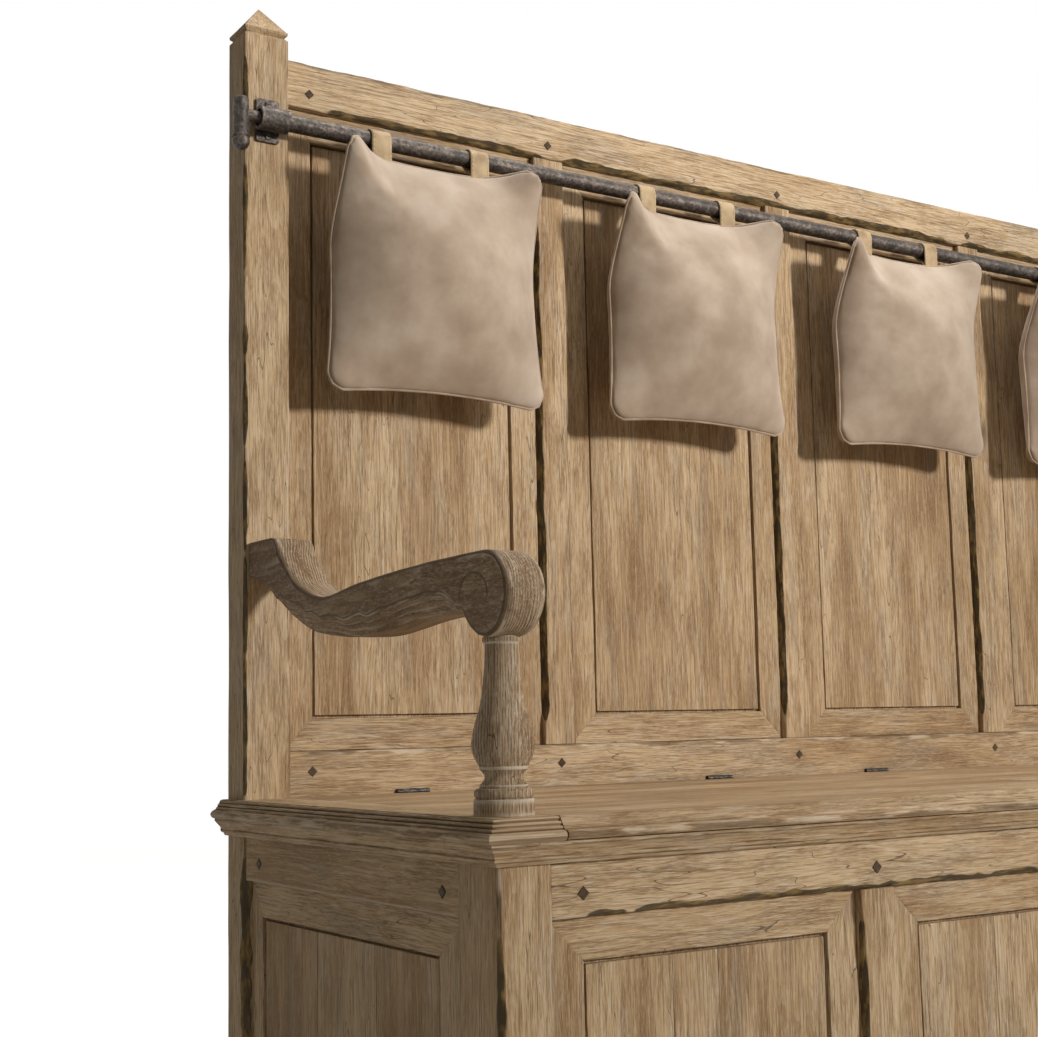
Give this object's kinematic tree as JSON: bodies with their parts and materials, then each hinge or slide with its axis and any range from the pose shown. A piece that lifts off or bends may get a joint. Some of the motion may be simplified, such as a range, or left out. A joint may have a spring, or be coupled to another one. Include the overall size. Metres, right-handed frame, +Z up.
{
  "type": "settle bench",
  "caption": "High-backed panelled oak settle bench with a chest under lift-up lids, scrolled arms and pillows hung from an iron rod",
  "frame": {"origin": "on the floor, in the middle of the bench's width and depth", "axes": "X along the bench, Y to the back, Z up"},
  "size_m": [1.8632, 0.6481, 1.4835],
  "materials": {
    "oak": "weathered, limed and waxed",
    "iron": "hammered and blackened",
    "suede": "brushed suede",
    "tab_leather": "soft, with stitched edges"
  },
  "bodies": {
    "frame": {"arm_left": "oak", "arm_right": "oak", "arm_support_left": "oak", "arm_support_right": "oak", "back_bottom_rail": "oak", "back_divider_1": "oak", "back_divider_2": "oak", "back_divider_3": "oak", "back_panel_1": "oak", "back_panel_2": "oak", "back_panel_3": "oak", "back_panel_4": "oak", "back_panel_frames": "oak", "back_top_rail": "oak", "bracket_screws": "iron", "chest_back": "oak", "chest_floor": "oak", "cornice_moulding": "oak", "front_bottom_rail": "oak", "front_dividers": "oak", "front_panel_1": "oak", "front_panel_2": "oak", "front_panel_3": "oak", "front_panel_4": "oak", "front_panel_frames": "oak", "front_post_left": "oak", "front_post_right": "oak", "front_top_rail": "oak", "hinge_fixed_leaves": "iron", "hinge_pins": "iron", "oak_pegs": "oak", "rear_post_left": "oak", "rear_post_right": "oak", "rear_seat_rail": "oak", "rod_bracket_left": "iron", "rod_bracket_right": "iron", "seat_end_left": "oak", "seat_end_right": "oak", "side_bottom_rail_left": "oak", "side_bottom_rail_right": "oak", "side_panel_frame_left": "oak", "side_panel_frame_right": "oak", "side_panel_left": "oak", "side_panel_right": "oak", "side_top_rail_left": "oak", "side_top_rail_right": "oak"},
    "lid_left": {"lid_left": "oak", "lid_hinge_leaves_left": "iron"},
    "lid_right": {"lid_right": "oak", "lid_hinge_leaves_right": "iron"},
    "rod": {"pillow_rod": "iron", "rod_end_stops": "iron"},
    "tabs_1": {"pillow_tabs_1": "tab_leather"},
    "pillow_1": {"pillow_1": "suede"},
    "tabs_2": {"pillow_tabs_2": "tab_leather"},
    "pillow_2": {"pillow_2": "suede"},
    "tabs_3": {"pillow_tabs_3": "tab_leather"},
    "pillow_3": {"pillow_3": "suede"},
    "tabs_4": {"pillow_tabs_4": "tab_leather"},
    "pillow_4": {"pillow_4": "suede"}
  },
  "joints": [
    {"name": "lid_left_hinge", "type": "hinge", "parent": "frame", "child": "lid_left", "pos_m": [0, 0.2858, 0.4715], "axis": [-1, 0, 0], "range_deg": [0, 75]},
    {"name": "lid_right_hinge", "type": "hinge", "parent": "frame", "child": "lid_right", "pos_m": [0, 0.2858, 0.4715], "axis": [-1, 0, 0], "range_deg": [0, 75]},
    {"name": "rod_turn", "type": "hinge", "parent": "frame", "child": "rod", "pos_m": [0, 0.254, 1.319], "axis": [1, 0, 0], "continuous": true},
    {"name": "tabs_1_slide", "type": "slide", "parent": "frame", "child": "tabs_1", "axis": [1, 0, 0], "range_m": [-0.05, 0.05]},
    {"name": "pillow_1_swing", "type": "hinge", "parent": "tabs_1", "child": "pillow_1", "pos_m": [-0.654, 0.2427, 1.294], "axis": [-1, 0, 0], "range_deg": [0, 80]},
    {"name": "tabs_2_slide", "type": "slide", "parent": "frame", "child": "tabs_2", "axis": [1, 0, 0], "range_m": [-0.05, 0.05]},
    {"name": "pillow_2_swing", "type": "hinge", "parent": "tabs_2", "child": "pillow_2", "pos_m": [-0.218, 0.2427, 1.294], "axis": [-1, 0, 0], "range_deg": [0, 80]},
    {"name": "tabs_3_slide", "type": "slide", "parent": "frame", "child": "tabs_3", "axis": [1, 0, 0], "range_m": [-0.05, 0.05]},
    {"name": "pillow_3_swing", "type": "hinge", "parent": "tabs_3", "child": "pillow_3", "pos_m": [0.218, 0.2427, 1.294], "axis": [-1, 0, 0], "range_deg": [0, 80]},
    {"name": "tabs_4_slide", "type": "slide", "parent": "frame", "child": "tabs_4", "axis": [1, 0, 0], "range_m": [-0.05, 0.05]},
    {"name": "pillow_4_swing", "type": "hinge", "parent": "tabs_4", "child": "pillow_4", "pos_m": [0.654, 0.2427, 1.294], "axis": [-1, 0, 0], "range_deg": [0, 80]}
  ]
}
